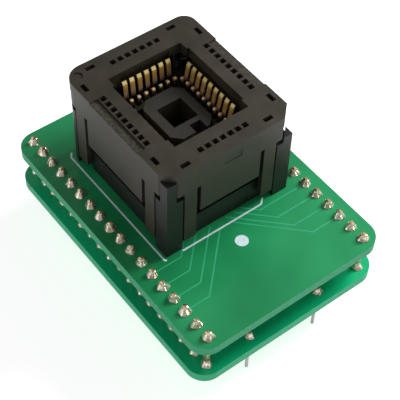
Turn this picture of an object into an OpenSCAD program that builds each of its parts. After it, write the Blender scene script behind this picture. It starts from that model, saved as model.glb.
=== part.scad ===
// Zero insertion force socket for a 32-lead chip, on a two-board pin adapter.
// Origin: centre of the plug pin pattern on the underside of the lower board, Z up.
// The side rows of the socket run along Y and its end rows along X.

/* [Boards] */
// Width of both boards
board_w = 33; // [32.5:0.5:38]
// Length of both boards
board_l = 47; // [46.5:0.5:54]
// Thickness of one board
board_t = 1.6; // [1.2:0.1:2]
// Corner radius of the boards
board_r = 3; // [1:0.5:3]
// Clear height between the boards
board_gap = 5.2; // [4.8:0.1:8]
// Board centre ahead of the plug pattern centre
board_y = 2.54; // [2.2:0.02:2.8]

/* [Link pins] */
// Link pins in one row
link_count = 18; // [16:1:18]
// Distance between the two link rows
link_span = 27.94; // [27.5:0.02:28.3]
// Side of a square link pin
link_side = 0.64; // [0.5:0.02:0.7]
// Height of a link pin above the upper board
link_above = 1.25; // [1.1:0.05:1.6]

/* [Plug pins] */
// Plug pins in one row
plug_count = 16; // [14:1:16]
// Distance between the two plug rows
plug_span = 12.7; // [10.16:0.02:15.24]
// Diameter of a plug pin
plug_d = 0.5; // [0.4:0.02:0.6]
// Length of a plug pin below the lower board
plug_reach = 6.8; // [4:0.1:8]

/* [Socket] */
// Socket centre ahead of the plug pattern centre
socket_y = 7.14; // [6.5:0.02:7.6]
// Socket centre right of the board centre
socket_x = 0.3; // [-0.6:0.1:0.6]
// Width of the cover
cover_w = 22; // [22:0.1:23]
// Length of the cover
cover_l = 25; // [25:0.1:26]
// Height from the upper board to the top of the cover
socket_h = 16.2; // [15.8:0.1:17]
// Thickness of the cover's top plate
plate_t = 1.7; // [1.5:0.05:1.8]
// Depth of the closed ring below the cover's top
ring_depth = 4.4; // [4:0.1:4.8]
// Depth of the skirt panels below the cover's top
panel_depth = 9.65; // [8:0.05:10.5]
// Depth of the guide legs below the cover's top
leg_depth = 14.7; // [14.2:0.05:14.9]
// Downward stroke of the cover
travel = 0.8; // [0.5:0.05:0.8]
// Width of the chip window
window_w = 13.3; // [13.3:0.1:13.8]
// Length of the chip window
window_l = 15.7; // [15.7:0.1:16]
// Size of the cover's corner chamfers
chamfer = 2; // [1.8:0.05:2.4]
// Radius of the cover's first-lead corner
round_r = 2.75; // [2.5:0.05:3]

/* [Contacts] */
// Distance between neighbouring contacts
pitch = 1.27; // [1.25:0.01:1.27]
// Width of a contact
contact_w = 0.7; // [0.5:0.05:0.7]
// Thickness of a contact's strips
strip_t = 0.2; // [0.14:0.02:0.22]

/* [Chip seat] */
// Width of the raised chip seat
seat_w = 7.2; // [6.6:0.1:7.3]
// Length of the raised chip seat
seat_l = 9.1; // [8.4:0.1:9.2]
// Side of the square hole in the chip seat
seat_hole = 4.2; // [3:0.1:4.6]

/* [Hidden] */

eps = 0.02;
grid = 2.54;
side_count = 9;
end_count = 7;
// Rows: [turn about Z, number of contacts, outward shift, bead place, knee place]
LEFT = [180, side_count, 0, 4.75, 5.25];
RIGHT = [0, side_count, 0, 4.75, 5.25];
FRONT = [270, end_count, 1.6, 4.2, 5.5];
BACK = [90, end_count, 1.6, 4.2, 5.5];
ROWS = [LEFT, RIGHT, FRONT, BACK];

// Heights
upper_z = board_t + board_gap;
deck_z = upper_z + board_t;
top_z = deck_z + socket_h;
plate_z = top_z - plate_t;
ring_z = top_z - ring_depth;
panel_z = top_z - panel_depth;
leg_z = top_z - leg_depth;
floor_z = deck_z + 2;
wall_z = deck_z + 4.05;
core_z = top_z - 5.5;
seat_z = top_z - 4;
seat_foot_z = seat_z - 3.6;
pivot_z = top_z - 10.4;
knuckle_r = 0.4;
sill_z = pivot_z - knuckle_r;
post_z = ring_z - travel - 0.1;

// Cover
back_r = 2;
skin = 0.08;
skirt_t = 0.8;
slot_half_x = [5.2, 5.85];
slot_half_y = [6.6, 7.3];
leg_gap = 0.25;
post_x = 8.2;
post_y = 9.75;
post_inset = 0.1;
post_clear = 0.15;
vent = 0.85;
vent_x = cover_w / 2 - 2.035;
vent_y = cover_l / 2 - 2.265;
rib_z = top_z - 4;
undercut = 0.45;
lip_t = 0.6;

// Base
base_w = cover_w - 2;
base_l = cover_l - 2.6;
wall_t = 1;
core_w = 14;
core_l = 17.2;
sill_out = 0.75;
comb_gap = 0.2;
pivot_u = 7.2;
lever_u = 8.36;
tip_u = 6.05;
boss_x = 8.3;
boss_y = 9.8;
boss_r = 1.3;
bore_r = 0.9;
bore_z = floor_z + 1.6;
guide_r = 0.35;
hook_reach = 0.37;
hook_h = 1.25;

// Contact tails and solder
tail_t = 0.25;
tail_w = 0.5;
tail_below = 0.9;
joint_h = 1.05;

module at_socket() {
    translate([socket_x, socket_y, 0]) children();
}

// Puts a contact row's children at each contact, +X pointing out of the chip.
module along_row(row) {
    at_socket() rotate(row[0]) translate([row[2], 0, 0])
        for (i = [0:row[1] - 1])
            translate([0, (i - (row[1] - 1) / 2) * pitch, 0]) children();
}

module at_corners(x, y) {
    for (sx = [-1, 1], sy = [-1, 1]) translate([sx * x, sy * y, 0]) children();
}

// Places children at the link pins or plug pins of one row.
module along_grid(x, centre_y, count) {
    for (i = [0:count - 1])
        translate([x, centre_y + (i - (count - 1) / 2) * grid, 0]) children();
}

module board_blank() {
    x = board_w / 2 - board_r;
    y = board_l / 2 - board_r;
    linear_extrude(board_t) translate([0, board_y]) union() {
        square([board_w, board_l - 2 * board_r], center = true);
        square([board_w - 2 * board_r, board_l], center = true);
        for (sx = [-1, 1], sy = [-1, 1])
            translate([sx * x, sy * y]) circle(board_r, $fn = 48);
    }
}

module pin_hole(d) {
    translate([0, 0, -eps]) rotate(22.5) cylinder(d = d, h = board_t + 2 * eps, $fn = 8);
}

module lower_board() {
    color("seagreen") difference() {
        board_blank();
        for (s = [-1, 1]) {
            along_grid(s * link_span / 2, board_y, link_count) pin_hole(1);
            along_grid(s * plug_span / 2, 0, plug_count) pin_hole(0.8);
        }
    }
}

module upper_board() {
    color("seagreen") translate([0, 0, upper_z]) difference() {
        board_blank();
        for (s = [-1, 1])
            along_grid(s * link_span / 2, board_y, link_count) pin_hole(1);
        for (row = ROWS) along_row(row) translate([pivot_u, 0, 0]) pin_hole(0.8);
    }
}

// Insulator strip that spaces the boards; side is -1 for left and 1 for right.
module header_strip(side) {
    h = 1.2;
    cell = 1.6;
    waist = 1.3;
    color("#1c1c1e") translate([0, 0, upper_z - h]) difference() {
        union() {
            translate([side * link_span / 2, board_y, h / 2])
                cube([waist, (link_count - 1) * grid, h], center = true);
            along_grid(side * link_span / 2, board_y, link_count)
                translate([-cell / 2, -cell / 2, 0]) cube([cell, cell, h]);
        }
        along_grid(side * link_span / 2, board_y, link_count)
            translate([-link_side / 2, -link_side / 2, -eps])
                cube([link_side, link_side, h + 2 * eps]);
    }
}

module link_pins(side) {
    foot = 0.6;
    tip = 0.3;
    h = deck_z + link_above + foot;
    color("#d9c27a") along_grid(side * link_span / 2, board_y, link_count) {
        translate([-link_side / 2, -link_side / 2, -foot])
            cube([link_side, link_side, h - tip]);
        translate([0, 0, h - foot - tip])
            linear_extrude(tip, scale = 0.5) square(link_side, center = true);
    }
}

// Cone of solder around a pin; the pin's own section is left out of it.
module solder_cone(r1, r2, h) {
    difference() {
        cylinder(r1 = r1, r2 = r2, h = h, $fn = 32);
        translate([0, 0, -eps]) linear_extrude(h + 2 * eps) children();
    }
}

module link_solder(side, z) {
    color("#e8e0c0") translate([0, 0, z])
        along_grid(side * link_span / 2, board_y, link_count)
            solder_cone(1.1, 0.5, joint_h) square(link_side, center = true);
}

module plug_pins(side) {
    tip = 0.3;
    above = board_t + joint_h + 0.15;
    color("#b8b8b4") along_grid(side * plug_span / 2, 0, plug_count) {
        translate([0, 0, tip - plug_reach])
            cylinder(d = plug_d, h = plug_reach - tip + above, $fn = 24);
        translate([0, 0, -plug_reach])
            cylinder(d1 = plug_d / 2, d2 = plug_d, h = tip, $fn = 24);
    }
}

module plug_solder(side) {
    color("#e8e0c0") translate([0, 0, board_t])
        along_grid(side * plug_span / 2, 0, plug_count)
            solder_cone(1, 0.45, joint_h) circle(d = plug_d, $fn = 24);
}

module tail_section() {
    square([tail_t, tail_w], center = true);
}

module solder_tails() {
    h = tail_below - 0.1;
    color("#e8e0c0") for (row = ROWS) along_row(row)
        translate([pivot_u, 0, upper_z]) mirror([0, 0, 1])
            solder_cone(0.5, 0.33, h) tail_section();
}

module contact_tails(row) {
    z = upper_z - tail_below;
    color("gold") along_row(row) translate([pivot_u, 0, z])
        linear_extrude(sill_z - z) tail_section();
}

// Flat strip of even width along a bent line, as a closed outline.
function unit(p, q) = (q - p) / norm(q - p);
function normal(p, q) = [-unit(p, q).y, unit(p, q).x];
function bisector(p, i) =
    let (a = normal(p[max(i - 1, 0)], p[max(i - 1, 0) + 1]),
         b = normal(p[min(i, len(p) - 2)], p[min(i, len(p) - 2) + 1]))
    2 * (a + b) / ((a + b) * (a + b));

module strip(p) {
    n = len(p) - 1;
    h = strip_t / 2;
    polygon(concat([for (i = [0:n]) p[i] + h * bisector(p, i)],
                   [for (i = [n:-1:0]) p[i] - h * bisector(p, i)]));
}

// Wiper with its bent tip, and the lever that the cover's rib pushes outward.
module wiper_section(knee_u) {
    pivot = [pivot_u, pivot_z];
    translate(pivot) circle(knuckle_r, $fn = 32);
    strip([pivot, [knee_u + 1.45, top_z - 7.1], [knee_u, seat_z - 0.8],
           [tip_u - 0.3, plate_z - 0.5], [tip_u, plate_z - 0.05]]);
    strip([pivot, [lever_u, top_z - 8.6], [lever_u, top_z - 3.3]]);
}

// Narrower support arm with the bead that the chip's lead rests on.
module arm_section(bead_u) {
    bead = [bead_u, seat_z - 0.2];
    translate(bead) circle(0.32, $fn = 32);
    strip([[pivot_u, pivot_z], [bead_u + 0.65, top_z - 9], [bead_u, top_z - 7.1], bead]);
}

module contact_fingers(row) {
    color("gold") along_row(row) rotate([90, 0, 0]) {
        linear_extrude(contact_w, center = true) wiper_section(row[4]);
        linear_extrude(contact_w - 0.25, center = true) arm_section(row[3]);
    }
}

// Cover outline, drawn in by d: chamfered front corners and round back ones.
module cover_outline(d) {
    x = cover_w / 2 - d;
    y = cover_l / 2 - d;
    c = chamfer - d * (2 - sqrt(2));
    left_r = round_r - d;
    right_r = back_r - d;
    polygon([[x, y - right_r], [x, c - y], [x - c, -y], [c - x, -y], [-x, c - y],
             [-x, y - left_r], [left_r - x, y], [x - right_r, y]]);
    translate([left_r - x, y - left_r]) circle(left_r, $fn = 64);
    translate([x - right_r, y - right_r]) circle(right_r, $fn = 64);
}

module window_outline() {
    notch = 0.35;
    square([window_w, window_l - 3.1], center = true);
    square([window_w - 2 * notch, window_l], center = true);
}

// Skirt bands between the wide slots: panels in the middle of each face and the legs.
module skirt_gaps() {
    h = ring_z - leg_z + 1;
    for (s = [-1, 1]) {
        translate([s * (slot_half_x[0] + slot_half_x[1]) / 2, 0, ring_z - h / 2 - eps])
            cube([slot_half_x[1] - slot_half_x[0], cover_l, h], center = true);
        translate([0, s * (slot_half_y[0] + slot_half_y[1]) / 2, ring_z - h / 2 - eps])
            cube([cover_w, slot_half_y[1] - slot_half_y[0], h], center = true);
    }
    // Below the ring the corners belong to the base's posts.
    at_corners(cover_w / 2, cover_l / 2)
        translate([0, 0, ring_z - h / 2])
            cube([cover_w - 2 * (post_x - leg_gap), cover_l - 2 * (post_y - leg_gap), h],
                 center = true);
    // The middle panels end higher than the legs.
    translate([0, 0, (panel_z + leg_z) / 2 - 0.5]) {
        cube([2 * slot_half_x[0], cover_l, panel_z - leg_z + 1], center = true);
        cube([cover_w, 2 * slot_half_y[0], panel_z - leg_z + 1], center = true);
    }
}

module plate_cuts() {
    h = plate_t + 2 * eps;
    recess = 0.3;
    recess_w = 1.4;
    recess_l = 11.3;
    translate([0, 0, plate_z - eps]) {
        linear_extrude(h) window_outline();
        for (s = [-1, 1]) {
            for (i = [0:side_count - 1])
                translate([s * vent_x, (i - (side_count - 1) / 2) * pitch, h / 2])
                    cube([vent, vent, h], center = true);
            for (i = [0:end_count - 1])
                translate([(i - (end_count - 1) / 2) * pitch, s * vent_y, h / 2])
                    cube([vent, vent, h], center = true);
        }
        at_corners(cover_w / 2 - 1.1, cover_l / 2 - 4.2)
            translate([0, 0, h / 2]) cube([0.7, 1.5, h], center = true);
        at_corners(cover_w / 2 - 3.95, cover_l / 2 - 1.3)
            translate([0, 0, h / 2]) cube([1.5, 0.7, h], center = true);
        // Relief behind the lip for the end rows' tips
        translate([-4.4, -window_l / 2 - undercut, 0])
            cube([8.8, window_l + 2 * undercut, h - lip_t - eps]);
    }
    // Bare label recesses along both sides, open at the outer edge
    for (s = [-1, 1])
        translate([s * (cover_w / 2 - recess_w / 2 + eps), -0.15, top_z])
            cube([recess_w, recess_l, 2 * recess], center = true);
    // First-lead dimple
    translate([1.6 - cover_w / 2, cover_l / 2 - 1.7, top_z - 0.2])
        cylinder(r = 0.75, h = 1, $fn = 32);
}

// Rib under the plate that pushes a row's levers outward as the cover goes down.
module cam_rib(row) {
    inner = 7.3;
    face = lever_u - strip_t / 2 - 0.06;
    length = (row[1] - 1) * pitch + 1;
    rotate(row[0]) translate([row[2], 0, 0]) rotate([90, 0, 0])
        linear_extrude(length, center = true)
            polygon([[inner, plate_z + eps], [inner, rib_z], [face - 0.26, rib_z],
                     [face, rib_z + 0.7], [face + 0.3, rib_z + 1.5],
                     [face + 0.3, plate_z + eps]]);
}

// Hook inside a side leg that holds the cover under the base's ledge.
module hook(sx, sy) {
    x = cover_w / 2 - skin - skirt_t;
    translate([0, sy * (slot_half_y[1] + post_y - leg_gap) / 2, 0]) mirror([sx < 0 ? 1 : 0, 0, 0])
        rotate([90, 0, 0]) linear_extrude(1.8, center = true)
            polygon([[x + eps, leg_z], [x - 0.1, leg_z], [x - hook_reach, leg_z + 0.5],
                     [x - hook_reach, leg_z + hook_h], [x + eps, leg_z + hook_h]]);
}

module cover() {
    color("#3a3733") at_socket() {
        difference() {
            union() {
                translate([0, 0, plate_z]) linear_extrude(plate_t) cover_outline(0);
                translate([0, 0, leg_z]) linear_extrude(plate_z - leg_z + eps) difference() {
                    cover_outline(skin);
                    cover_outline(skin + skirt_t);
                }
            }
            plate_cuts();
            skirt_gaps();
            // Shallow moulding gate mark on the front face
            translate([-1.35, -cover_l / 2 - 1 + 0.16, plate_z - 1.1])
                cube([3.05, 1, 1.2]);
        }
        for (row = ROWS) cam_rib(row);
        at_corners(boss_x, boss_y) translate([0, 0, plate_z - 7.4])
            cylinder(r = guide_r, h = 7.4 + eps, $fn = 24);
        for (sx = [-1, 1], sy = [-1, 1]) hook(sx, sy);
    }
}

// Part of a corner post outside the cover's chamfer, for a corner turned to +X +Y.
module post_wedge(h) {
    x = cover_w / 2 - post_inset;
    y = cover_l / 2 - post_inset;
    s = cover_w / 2 + cover_l / 2 - chamfer + post_clear * sqrt(2);
    linear_extrude(h) polygon([[x, y], [x, s - x], [s - y, y]]);
}

module posts() {
    x = cover_w / 2 - post_inset;
    y = cover_l / 2 - post_inset;
    translate([0, 0, deck_z]) {
        linear_extrude(post_z - deck_z) difference() {
            at_corners((x + post_x) / 2, (y + post_y) / 2)
                square([x - post_x, y - post_y], center = true);
            // The back posts follow the cover's round corners.
            for (corner = [[1, round_r], [0, back_r]]) mirror([corner[0], 0, 0])
                translate([x + post_inset - corner[1], y + post_inset - corner[1]]) difference() {
                    square(corner[1]);
                    circle(corner[1] - post_inset, $fn = 64);
                }
        }
        mirror([0, 1, 0]) post_wedge(ring_z + 0.05 - deck_z);
        mirror([1, 0, 0]) mirror([0, 1, 0]) post_wedge(top_z - 1.2 - deck_z);
    }
}

module base_body() {
    translate([-base_w / 2, -base_l / 2, deck_z]) cube([base_w, base_l, wall_z - deck_z]);
    translate([-core_w / 2 - sill_out, -core_l / 2 - sill_out, floor_z - eps])
        cube([core_w + 2 * sill_out, core_l + 2 * sill_out, sill_z - floor_z + eps]);
    translate([-core_w / 2, -core_l / 2, floor_z])
        cube([core_w, core_l, core_z - floor_z]);
    at_corners(boss_x, boss_y) translate([0, 0, floor_z])
        cylinder(r = boss_r, h = post_z - floor_z, $fn = 48);
    posts();
}

// Trough between the low outer wall and the core's sill
module trough() {
    translate([0, 0, floor_z]) linear_extrude(wall_z - floor_z + eps) difference() {
        square([base_w - 2 * wall_t, base_l - 2 * wall_t], center = true);
        square([core_w + 2 * sill_out, core_l + 2 * sill_out], center = true);
        at_corners(boss_x, boss_y) circle(boss_r, $fn = 48);
        at_corners((base_w / 2 + post_x) / 2, (base_l / 2 + post_y) / 2)
            square([base_w / 2 - post_x, base_l / 2 - post_y], center = true);
    }
}

module base_cuts() {
    clear = 0.1;
    // Chip seat pocket and the blind hole below it
    translate([0, 0, seat_foot_z + 5])
        cube([seat_w + 2 * clear, seat_l + 2 * clear, 10], center = true);
    translate([0, 0, floor_z + 5]) cube([seat_hole, seat_hole, 10], center = true);
    for (row = ROWS) rotate(row[0]) translate([row[2], 0, 0])
        for (i = [0:row[1] - 1])
            translate([0, (i - (row[1] - 1) / 2) * pitch, 0]) {
                // Comb slot for the contact, then the tail's own slot
                slot_in = row[3] - 0.35;
                translate([slot_in, -contact_w / 2 - comb_gap / 2, sill_z])
                    cube([pivot_u - slot_in, contact_w + comb_gap, 10]);
                translate([pivot_u - tail_t / 2, -tail_w / 2, deck_z - 1])
                    cube([tail_t, tail_w, sill_z - deck_z + 2]);
            }
    at_corners(boss_x, boss_y) translate([0, 0, bore_z])
        cylinder(r = bore_r, h = post_z - bore_z + 1, $fn = 48);
    // Pockets under the ledges that the cover's hooks catch
    ledge_z = leg_z + hook_h + 0.05;
    leg_w = post_y - leg_gap - slot_half_y[1];
    at_corners(base_w / 2, slot_half_y[1] + leg_w / 2)
        translate([0, 0, deck_z - 1 + (ledge_z - deck_z + 1) / 2])
            cube([0.8, leg_w, ledge_z - deck_z + 1], center = true);
}

module socket_base() {
    color("#2b2926") at_socket() difference() {
        base_body();
        trough();
        base_cuts();
    }
}

module chip_seat() {
    c = 1.3;
    x = seat_w / 2;
    y = seat_l / 2;
    color("#4a4640") at_socket() translate([0, 0, seat_foot_z]) difference() {
        linear_extrude(seat_z - seat_foot_z) difference() {
            polygon([[x - c, y], [x, y - c], [x, c - y], [x - c, -y], [c - x, -y], [-x, c - y],
                     [-x, y - c], [c - x, y]]);
            square(seat_hole, center = true);
        }
        // Notch in the front edge
        translate([-0.1, -y - eps, 1.2]) cube([1.9, 1.65, 10]);
    }
}

// Coil spring between a bore in the base and the cover's plate.
module spring(sx, sy) {
    turns = 7;
    coil_r = 0.62;
    wire_r = 0.1;
    color("silver") at_socket() translate([sx * boss_x, sy * boss_y, bore_z])
        linear_extrude(plate_z - bore_z, twist = -360 * turns, slices = 14 * turns)
            translate([coil_r, 0]) scale([1, 2.4]) circle(wire_r, $fn = 8);
}

lower_board();
upper_board();
header_strip(-1);  // header_strip_left
header_strip(1);  // header_strip_right
link_pins(-1);  // link_pins_left
link_pins(1);  // link_pins_right
link_solder(-1, deck_z);  // solder_upper_left
link_solder(1, deck_z);  // solder_upper_right
link_solder(-1, board_t);  // solder_lower_left
link_solder(1, board_t);  // solder_lower_right
plug_pins(-1);  // plug_pins_left
plug_pins(1);  // plug_pins_right
plug_solder(-1);  // solder_plug_left
plug_solder(1);  // solder_plug_right
solder_tails();
socket_base();
chip_seat();
contact_tails(LEFT);  // contact_tails_left
contact_tails(RIGHT);  // contact_tails_right
contact_tails(FRONT);  // contact_tails_front
contact_tails(BACK);  // contact_tails_back
contact_fingers(LEFT);  // contact_fingers_left
contact_fingers(RIGHT);  // contact_fingers_right
contact_fingers(FRONT);  // contact_fingers_front
contact_fingers(BACK);  // contact_fingers_back
spring(-1, -1);  // spring_front_left
spring(1, -1);  // spring_front_right
spring(-1, 1);  // spring_back_left
spring(1, 1);  // spring_back_right
cover();
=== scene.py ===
"""Zero insertion force chip socket on two stacked boards: finishes, board artwork, solder and studio.

Shapes that move or fit come from the frame; this script adds the surface detail in the same metres.
"""
import math
import random

import bmesh
import bpy
from mathutils import Matrix, Vector


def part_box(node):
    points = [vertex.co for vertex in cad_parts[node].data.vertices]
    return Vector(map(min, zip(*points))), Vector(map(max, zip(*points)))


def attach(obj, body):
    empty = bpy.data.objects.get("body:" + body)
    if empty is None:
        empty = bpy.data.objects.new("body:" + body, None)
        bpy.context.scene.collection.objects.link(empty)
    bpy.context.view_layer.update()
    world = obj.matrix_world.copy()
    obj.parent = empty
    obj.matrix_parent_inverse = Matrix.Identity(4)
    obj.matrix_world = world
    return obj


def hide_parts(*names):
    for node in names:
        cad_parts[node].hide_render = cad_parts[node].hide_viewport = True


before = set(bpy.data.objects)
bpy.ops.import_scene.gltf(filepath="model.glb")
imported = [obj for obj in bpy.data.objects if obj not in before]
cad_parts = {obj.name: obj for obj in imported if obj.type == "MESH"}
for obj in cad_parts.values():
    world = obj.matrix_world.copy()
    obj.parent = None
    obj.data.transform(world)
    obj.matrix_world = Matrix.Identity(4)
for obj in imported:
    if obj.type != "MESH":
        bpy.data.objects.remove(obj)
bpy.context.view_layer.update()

MM = 0.001
PITCH = 2.54 * MM
LINK_COUNT = 18
PLUG_COUNT = 16
LINK_X = 13.97 * MM

# Solder joints: radius at the foot and at the pin
LINK_FOOT = 1.08 * MM
LINK_NECK = 0.43 * MM
PLUG_FOOT = 0.97 * MM
PLUG_NECK = 0.36 * MM

# Label recesses of the cover: inner edge, half length and depth searched from the socket's top
LABEL_X = 9.7 * MM
LABEL_REACH = 5.5 * MM
LABEL_DEPTH = 0.4 * MM

# Widths of the printed lines and of the tracks
INK_W = 0.26 * MM
TRACK_W = 0.2 * MM

# Lamp powers in watts
KEY_POWER = 0.85
SIDE_POWER = 0.12

# The sky is dim around one direction, so that level faces mirror no glare
DIM_TOWARDS = (0.42, 0.55, 0.71)
SKY_LEVEL = 0.66
DIM_LEVEL = 0.26
HORIZON_LEVEL = 0.25
FLOOR_GLOW = 0.72

# Driving places, read from the frame
DECK_LOW, DECK_HIGH = (Vector(c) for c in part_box("upper_board"))
COVER_LOW, COVER_HIGH = (Vector(c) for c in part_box("cover"))
DECK_Z = DECK_HIGH.z
TOP = Vector(((COVER_LOW.x + COVER_HIGH.x) / 2, (COVER_LOW.y + COVER_HIGH.y) / 2, COVER_HIGH.z))
SEAT_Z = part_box("chip_seat")[1][2]


# ---------------------------------------------------------------- materials

def shader(name):
    """A new material, its node tree and its Principled shader."""
    material = bpy.data.materials.new(name)
    material.use_nodes = True
    tree = material.node_tree
    return material, tree, tree.nodes["Principled BSDF"]


def object_coords(tree, stretch=(1, 1, 1)):
    coords = tree.nodes.new("ShaderNodeTexCoord")
    mapping = tree.nodes.new("ShaderNodeMapping")
    mapping.inputs["Scale"].default_value = stretch
    tree.links.new(coords.outputs["Object"], mapping.inputs["Vector"])
    return mapping.outputs["Vector"]


def noise(tree, vector, scale, detail=3.0, rough=0.55):
    node = tree.nodes.new("ShaderNodeTexNoise")
    node.inputs["Scale"].default_value = scale
    node.inputs["Detail"].default_value = detail
    node.inputs["Roughness"].default_value = rough
    tree.links.new(vector, node.inputs["Vector"])
    return node.outputs["Fac"]


def ramp(tree, value, stops):
    """Colour ramp; stops are (place, colour) pairs."""
    node = tree.nodes.new("ShaderNodeValToRGB")
    points = node.color_ramp.elements
    while len(points) < len(stops):
        points.new(0.5)
    for point, (place, colour) in zip(points, stops):
        point.position = place
        point.color = (*colour, 1)
    tree.links.new(value, node.inputs["Fac"])
    return node.outputs["Color"]


def bump(tree, bsdf, value, strength, distance):
    node = tree.nodes.new("ShaderNodeBump")
    node.inputs["Strength"].default_value = strength
    node.inputs["Distance"].default_value = distance
    tree.links.new(value, node.inputs["Height"])
    tree.links.new(node.outputs["Normal"], bsdf.inputs["Normal"])


def math_node(tree, operation, a, b=None):
    node = tree.nodes.new("ShaderNodeMath")
    node.operation = operation
    for socket, value in zip(node.inputs, (a, b)):
        if value is None:
            continue
        if isinstance(value, (int, float)):
            socket.default_value = value
        else:
            tree.links.new(value, socket)
    return node.outputs[0]


def along(tree, vector, axis):
    """One coordinate of a vector."""
    split = tree.nodes.new("ShaderNodeSeparateXYZ")
    tree.links.new(vector, split.inputs[0])
    return split.outputs[axis]


def map_range(tree, value, low, high, to_low, to_high, smooth=False):
    node = tree.nodes.new("ShaderNodeMapRange")
    if smooth:
        node.interpolation_type = "SMOOTHSTEP"
    for key, number in (("From Min", low), ("From Max", high), ("To Min", to_low), ("To Max", to_high)):
        node.inputs[key].default_value = number
    tree.links.new(value, node.inputs["Value"])
    return node.outputs["Result"]


def mix_colour(tree, factor, a, b):
    node = tree.nodes.new("ShaderNodeMix")
    node.data_type = "RGBA"
    for socket, value in zip((node.inputs[0], node.inputs[6], node.inputs[7]), (factor, a, b)):
        if isinstance(value, (int, float)):
            socket.default_value = value
        elif isinstance(value, tuple):
            socket.default_value = (*value, 1)
        else:
            tree.links.new(value, socket)
    return node.outputs[2]


def speckled(name, dark, light, scale, roughness, metallic=0.0, grain=0.0, grain_scale=9000,
             specular=0.5):
    """Colour that drifts between two tones, with an optional fine grain in the surface."""
    material, tree, bsdf = shader(name)
    where = object_coords(tree)
    drift = noise(tree, where, scale)
    tree.links.new(ramp(tree, drift, [(0.3, dark), (0.7, light)]), bsdf.inputs["Base Color"])
    spread = math_node(tree, "MULTIPLY", noise(tree, where, scale * 3), 0.2)
    tree.links.new(math_node(tree, "ADD", spread, roughness - 0.1), bsdf.inputs["Roughness"])
    bsdf.inputs["Metallic"].default_value = metallic
    bsdf.inputs["Specular IOR Level"].default_value = specular
    if grain:
        bump(tree, bsdf, noise(tree, where, grain_scale, 2.0), grain, 0.02 * MM)
    return material


def board_material(name, mask, deep, edge):
    """Solder mask over glass fibre: clouded green on the faces and pale fibre at the cut edges."""
    material, tree, bsdf = shader(name)
    where = object_coords(tree)
    face = ramp(tree, noise(tree, where, 55, 2.0), [(0.3, deep), (0.68, mask)])
    fibre = ramp(tree, noise(tree, object_coords(tree, (1, 1, 9)), 900, 3.0),
                 [(0.35, tuple(0.7 * c for c in edge)), (0.65, edge)])
    geometry = tree.nodes.new("ShaderNodeNewGeometry")
    upright = along(tree, geometry.outputs["True Normal"], "Z")
    flat = math_node(tree, "GREATER_THAN", math_node(tree, "ABSOLUTE", upright), 0.5)
    tree.links.new(mix_colour(tree, flat, fibre, face), bsdf.inputs["Base Color"])
    tree.links.new(mix_colour(tree, flat, (0.75, 0.75, 0.75), (0.2, 0.2, 0.2)),
                   bsdf.inputs["Roughness"])
    bsdf.inputs["Coat Weight"].default_value = 0.1
    bsdf.inputs["Coat Roughness"].default_value = 0.1
    bump(tree, bsdf, noise(tree, where, 1400, 2.0), 0.12, 0.02 * MM)
    return material


def beyond(tree, where, axis, middle, reach):
    """1 where a place is farther than the reach from the middle along an axis, else 0."""
    away = math_node(tree, "ABSOLUTE", math_node(tree, "SUBTRACT", along(tree, where, axis), middle))
    return math_node(tree, "GREATER_THAN", away, reach)


def cover_material():
    """Warm black moulding with a fine spark texture, rougher inside the two label recesses."""
    material, tree, bsdf = shader("cover_moulding")
    where = object_coords(tree)
    cloud = noise(tree, where, 260, 4.0)
    tone = ramp(tree, cloud, [(0.3, (0.022, 0.0180, 0.0118)), (0.72, (0.037, 0.0305, 0.0202))])
    spark = noise(tree, where, 5200, 2.0, 0.7)
    labels = math_node(tree, "MULTIPLY", beyond(tree, where, "X", TOP.x, LABEL_X),
                       math_node(tree, "SUBTRACT", 1, beyond(tree, where, "Y", TOP.y, LABEL_REACH)))
    floor_only = beyond(tree, where, "Z", 0, COVER_HIGH.z - LABEL_DEPTH)
    labels = math_node(tree, "MULTIPLY", labels, floor_only)
    stipple = ramp(tree, noise(tree, where, 2600, 1.0), [(0.47, (0, 0, 0)), (0.58, (0.5, 0.5, 0.5))])
    fleck = mix_colour(tree, labels, ramp(tree, spark, [(0.62, (0, 0, 0)), (0.8, (0.5, 0.5, 0.5))]),
                       stipple)
    tone = mix_colour(tree, fleck, tone, (0.075, 0.068, 0.055))
    tree.links.new(tone, bsdf.inputs["Base Color"])
    spread = math_node(tree, "MULTIPLY", cloud, 0.22)
    tree.links.new(math_node(tree, "ADD", spread, 0.36), bsdf.inputs["Roughness"])
    bsdf.inputs["Specular IOR Level"].default_value = 0.38
    bump(tree, bsdf, spark, 0.35, 0.03 * MM)
    return material


def contact_painted_light_material():
    """Thin gold over copper alloy, with painted light by height: a painted highlight towards the tips and
    painted shade lower down in the well.
    """
    material, tree, bsdf = shader("contact_plate_with_painted_light")
    where = object_coords(tree)
    low = math_node(tree, "SUBTRACT", along(tree, where, "Z"), SEAT_Z - 1.6 * MM)
    height = math_node(tree, "DIVIDE", low, 3.9 * MM)
    cloud = math_node(tree, "MULTIPLY", noise(tree, where, 700), 0.24)
    level = math_node(tree, "SUBTRACT", math_node(tree, "ADD", height, cloud), 0.12)
    # Ramp by height from near black to pale gold: painted shade on the stems in the well and a painted
    # highlight on the tips
    tone = ramp(tree, level, [(0.0, (0.03, 0.015, 0.006)), (0.22, (0.10, 0.05, 0.02)),
                              (0.42, (0.62, 0.43, 0.26)), (0.72, (0.84, 0.47, 0.09)),
                              (1.0, (1.0, 0.86, 0.40))])
    tree.links.new(tone, bsdf.inputs["Base Color"])
    bsdf.inputs["Metallic"].default_value = 0.6
    bsdf.inputs["Roughness"].default_value = 0.26
    return material


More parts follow.
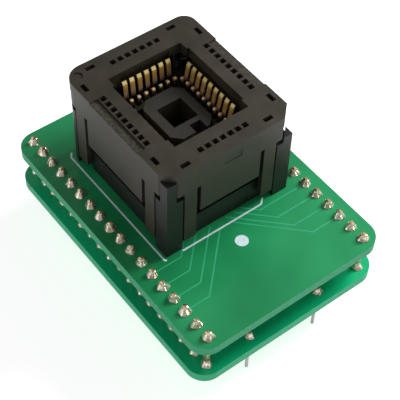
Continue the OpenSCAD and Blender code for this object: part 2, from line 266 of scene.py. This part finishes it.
BOARD = board_material("board_upper", (0.018, 0.285, 0.105), (0.005, 0.165, 0.052),
                       (0.004, 0.330, 0.140))
# The lower board's mask and edges are painted lighter than the upper board's: painted light that offsets
# the shade the upper board casts on it
BOARD_LOW_PAINTED_LIGHT = board_material("board_lower_painted_light", (0.005, 0.480, 0.200), (0.004, 0.360, 0.150),
                           (0.004, 0.400, 0.180))
TRACE = speckled("masked_trace", (0.022, 0.33, 0.15), (0.034, 0.38, 0.18), 300, 0.3)
INK = speckled("white_ink", (0.48, 0.62, 0.63), (0.60, 0.76, 0.78), 1500, 0.55, grain=0.2)
COVER = cover_material()
MOULDING = speckled("base_moulding", (0.006, 0.006, 0.0045), (0.012, 0.0115, 0.009), 300, 0.45, grain=0.3,
                    specular=0.35)
SEAT = speckled("seat_moulding", (0.015, 0.0135, 0.010), (0.025, 0.0225, 0.017), 400, 0.5, grain=0.3,
                specular=0.35)
HEADER = speckled("header_moulding", (0.010, 0.010, 0.011), (0.020, 0.020, 0.022), 500, 0.45, grain=0.2)
GOLD = speckled("gold_plate", (0.50, 0.38, 0.19), (0.80, 0.66, 0.40), 900, 0.3, metallic=0.9)
CONTACT = contact_painted_light_material()
SOLDER = speckled("solder", (0.56, 0.46, 0.32), (1.0, 0.96, 0.84), 1100, 0.26, metallic=0.95,
                  grain=0.4, grain_scale=1800)
PLUG = speckled("plug_plate", (0.30, 0.29, 0.27), (0.48, 0.47, 0.45), 900, 0.4, metallic=0.9)
STEEL = speckled("spring_wire", (0.45, 0.45, 0.45), (0.62, 0.62, 0.62), 900, 0.3, metallic=1.0)

FINISH = {
    "upper_board": BOARD, "lower_board": BOARD_LOW_PAINTED_LIGHT, "cover": COVER, "socket_base": MOULDING,
    "chip_seat": SEAT, "header_strip": HEADER, "link_pins": GOLD, "plug_pins": PLUG,
    "contact_fingers": CONTACT, "contact_tails": CONTACT, "spring": STEEL, "solder": SOLDER,
}


def finish_nodes():
    """Gives each carried-over node its material, by the start of its name."""
    for name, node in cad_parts.items():
        for start, material in FINISH.items():
            if name.startswith(start):
                node.data.materials.clear()
                node.data.materials.append(material)


def soften(name, width, segments=2):
    """Rounds the sharp edges of a carried-over node by a modifier."""
    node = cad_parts[name]
    planar = node.modifiers.new("planar", "DECIMATE")
    planar.decimate_type = "DISSOLVE"
    planar.angle_limit = math.radians(1)
    bevel = node.modifiers.new("bevel", "BEVEL")
    bevel.width = width
    bevel.segments = segments
    bevel.limit_method = "ANGLE"
    bevel.angle_limit = math.radians(35)


# ---------------------------------------------------------------- building

def add_piece(name, mesh, material):
    """Hangs a new mesh on the fixed body."""
    piece = bpy.data.objects.new(name, mesh)
    bpy.context.scene.collection.objects.link(piece)
    piece.data.materials.append(material)
    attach(piece, "carrier")
    return piece


def mesh_from(bm, name, smooth=False):
    mesh = bpy.data.meshes.new(name)
    bmesh.ops.recalc_face_normals(bm, faces=bm.faces)
    for face in bm.faces:
        face.smooth = smooth
    bm.to_mesh(mesh)
    bm.free()
    return mesh


def skin(bm, rings):
    """Closes a solid: walls between neighbouring rings of corners and a cap at each end."""
    for a, b in zip(rings, rings[1:]):
        for i in range(len(a)):
            j = (i + 1) % len(a)
            bm.faces.new((a[i], a[j], b[j], b[i]))
    bm.faces.new(rings[0])
    bm.faces.new(rings[-1])


def ribbon(bm, points, width, low, high):
    """Closed flat strip along a bent line in the board's plane."""
    line = [Vector((x, y, 0)) for x, y in points]
    sides = []
    for i, here in enumerate(line):
        before = (here - line[i - 1]).normalized() if i else (line[1] - here).normalized()
        after = (line[i + 1] - here).normalized() if i + 1 < len(line) else before
        across = Vector((-before.y - after.y, before.x + after.x, 0))
        across *= width / max(across.dot(across), 1e-9)
        sides.append((here + across, here - across))
    rings = []
    for left, right in sides:
        rings.append([bm.verts.new((p.x, p.y, z)) for p, z in
                      ((left, low), (right, low), (right, high), (left, high))])
    skin(bm, rings)


def disc(bm, x, y, radius, low, high, count=40):
    rings = []
    for z in (low, high):
        rings.append([bm.verts.new((x + radius * math.cos(2 * math.pi * i / count),
                                    y + radius * math.sin(2 * math.pi * i / count), z))
                      for i in range(count)])
    skin(bm, rings)


# ---------------------------------------------------------------- board artwork

def at_socket(x, y):
    """Board place given in millimetres from the socket's centre."""
    return (TOP.x + x * MM, TOP.y + y * MM)


def silkscreen():
    """White outline round the socket's front and left side, with the first-pin dot."""
    bm = bmesh.new()
    low, high = DECK_Z, DECK_Z + 0.03 * MM
    left = [at_socket(-10.9, 11.9), at_socket(-11.45, 11.1), at_socket(-11.45, -12.6),
            at_socket(-11.2, -12.8)]
    front = [at_socket(-8.4, -12.75), at_socket(5.9, -12.75), at_socket(6.8, -11.9)]
    for line in (left, front):
        ribbon(bm, line, INK_W, low, high)
    disc(bm, *at_socket(-0.55, -16.3), 1.0 * MM, low, high)
    add_piece("silkscreen", mesh_from(bm, "silkscreen"), INK)


def seat_mark():
    """Small triangle at the first-lead side of the chip seat, in darker moulding as painted shade so that
    it looks sunk.
    """
    bm = bmesh.new()
    x, y = at_socket(-0.6, 3.65)
    corners = [(x - 0.45 * MM, y - 0.35 * MM), (x + 0.45 * MM, y - 0.35 * MM), (x, y + 0.45 * MM)]
    rings = [[bm.verts.new((px, py, z)) for px, py in corners]
             for z in (SEAT_Z - 0.02 * MM, SEAT_Z + 0.01 * MM)]
    skin(bm, rings)
    # The darker moulding on this thin triangle is painted shade for a sunk mark
    add_piece("seat_mark", mesh_from(bm, "seat_mark"), HEADER)


def traces():
    """Tracks under the mask: straight in from the pads, then aslant to the socket's front."""
    bm = bmesh.new()
    low, high = DECK_Z, DECK_Z + 0.012 * MM
    first = (DECK_LOW.y + DECK_HIGH.y) / 2 - (LINK_COUNT - 1) / 2 * PITCH
    end = COVER_LOW.y + 1.0 * MM
    for side, reaches in ((-1, (4.2, 4.6, 4.6, 5.0)), (1, (5.0, 6.4, 7.4, 8.6))):
        for i, reach in enumerate(reaches):
            x = side * LINK_X
            y = first + (i + 2) * PITCH
            bend = x - side * reach * MM
            slant = min(end - y, 8.5 * MM)
            ribbon(bm, [(x, y), (bend, y), (bend - side * slant, y + slant)], TRACK_W, low, high)
    add_piece("traces", mesh_from(bm, "traces"), TRACE)


# ---------------------------------------------------------------- solder

def solder_joint(bm, x, y, z, foot, neck, height, rng, count=14):
    """One joint: a dented cone of solder that sweeps up to the pin and leans a little."""
    profile = [(1.0, 0.0), (0.96, 0.10), (0.84, 0.26), (0.70, 0.50), (0.56, 0.78), (0.40, 1.0)]
    lean = Vector((rng.uniform(-0.12, 0.12), rng.uniform(-0.12, 0.12), 0)) * foot
    dents = [rng.uniform(0.76, 1.0) for _ in range(count)]
    rings = []
    for share, level in profile:
        radius = neck + (foot - neck) * (share - 0.4) / 0.6
        ring = []
        for i, dent in enumerate(dents):
            angle = 2 * math.pi * i / count
            r = radius * (dent if level < 1 else 1)
            ring.append(bm.verts.new((x + r * math.cos(angle) + lean.x * level,
                                      y + r * math.sin(angle) + lean.y * level, z + height * level)))
        rings.append(ring)
    skin(bm, rings)


def solder_row(name, node, count, foot, neck, seed):
    low, high = (Vector(c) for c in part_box(node))
    rng = random.Random(seed)
    bm = bmesh.new()
    x = (low.x + high.x) / 2
    middle = (low.y + high.y) / 2
    for i in range(count):
        y = middle + (i - (count - 1) / 2) * PITCH
        height = (high.z - low.z) * rng.uniform(0.85, 1.0)
        solder_joint(bm, x, y, low.z, foot * rng.uniform(0.93, 1.0), neck, height, rng)
    piece = add_piece(name, mesh_from(bm, name, smooth=True), SOLDER)
    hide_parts(node)


def solder():
    for seed, side in enumerate(("left", "right")):
        solder_row("joints_upper_" + side, "solder_upper_" + side, LINK_COUNT, LINK_FOOT, LINK_NECK,
                   11 + seed)
        solder_row("joints_lower_" + side, "solder_lower_" + side, LINK_COUNT, LINK_FOOT, LINK_NECK,
                   21 + seed)
        solder_row("joints_plug_" + side, "solder_plug_" + side, PLUG_COUNT, PLUG_FOOT, PLUG_NECK,
                   31 + seed)


# ---------------------------------------------------------------- studio

def area_light(name, place, target, size, power):
    lamp = bpy.data.lights.new(name, "AREA")
    lamp.shape = "DISK"
    lamp.size = size
    lamp.energy = power
    light = bpy.data.objects.new(name, lamp)
    light.location = place
    light.rotation_euler = (Vector(target) - Vector(place)).to_track_quat("-Z", "Y").to_euler()
    bpy.context.scene.collection.objects.link(light)


def studio():
    """White world, pale floor under the plug pins and two soft lamps."""
    scene = bpy.context.scene
    scene.view_settings.view_transform = "Standard"
    world = bpy.data.worlds.new("studio")
    scene.world = world
    world.use_nodes = True
    tree = world.node_tree
    back = tree.nodes["Background"]
    rays = tree.nodes.new("ShaderNodeLightPath")
    direction = tree.nodes.new("ShaderNodeTexCoord").outputs["Generated"]
    facing = tree.nodes.new("ShaderNodeVectorMath")
    facing.operation = "DOT_PRODUCT"
    facing.inputs[1].default_value = DIM_TOWARDS
    tree.links.new(direction, facing.inputs[0])
    fall = map_range(tree, facing.outputs["Value"], 0.35, 0.9, SKY_LEVEL, DIM_LEVEL, smooth=True)
    rise = map_range(tree, along(tree, direction, "Z"), 0.0, 0.8, HORIZON_LEVEL, 1.0)
    sky = math_node(tree, "MULTIPLY", fall, rise)
    level = math_node(tree, "MAXIMUM", rays.outputs["Is Camera Ray"], sky)
    back.inputs["Color"].default_value = (1, 1, 1, 1)
    tree.links.new(level, back.inputs["Strength"])

    floor_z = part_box("plug_pins_left")[0][2]
    bm = bmesh.new()
    bmesh.ops.create_circle(bm, cap_ends=True, segments=96, radius=0.8)
    bmesh.ops.translate(bm, verts=bm.verts, vec=(0, 0, floor_z))
    floor = bpy.data.objects.new("floor", mesh_from(bm, "floor"))
    scene.collection.objects.link(floor)
    pale = speckled("pale_floor", (0.56, 0.56, 0.56), (0.60, 0.60, 0.60), 6, 0.8, specular=0.1)
    glow = pale.node_tree.nodes["Principled BSDF"]
    glow.inputs["Emission Color"].default_value = (1, 1, 1, 1)
    glow.inputs["Emission Strength"].default_value = FLOOR_GLOW
    floor.data.materials.append(pale)

    centre = TOP + Vector((0, -4 * MM, -12 * MM))
    area_light("key", centre + Vector((0.20, -0.02, 0.16)), centre, 0.12, KEY_POWER)
    area_light("side", centre + Vector((-0.34, 0.04, 0.10)), centre, 0.20, SIDE_POWER)


def camera():
    """Long lens above the front left corner."""
    offset = Vector((-68.22, -90.06, 115.52)) * MM
    yaw, pitch, roll = (math.radians(a) for a in (39.0, 50.89, 2.15))
    data = bpy.data.cameras.new("camera")
    data.lens = 104.5
    data.sensor_width = 36
    data.clip_start = 0.005
    eye = bpy.data.objects.new("camera", data)
    turn = (Matrix.Rotation(-yaw, 4, "Z") @ Matrix.Rotation(math.pi / 2 - pitch, 4, "X")
            @ Matrix.Rotation(roll, 4, "Z"))
    eye.matrix_world = Matrix.Translation(TOP + offset) @ turn
    bpy.context.scene.collection.objects.link(eye)
    bpy.context.scene.camera = eye


camera()
finish_nodes()
soften("cover", 0.12 * MM)
soften("socket_base", 0.10 * MM)
soften("chip_seat", 0.28 * MM)
silkscreen()
traces()
seat_mark()
solder()
studio()
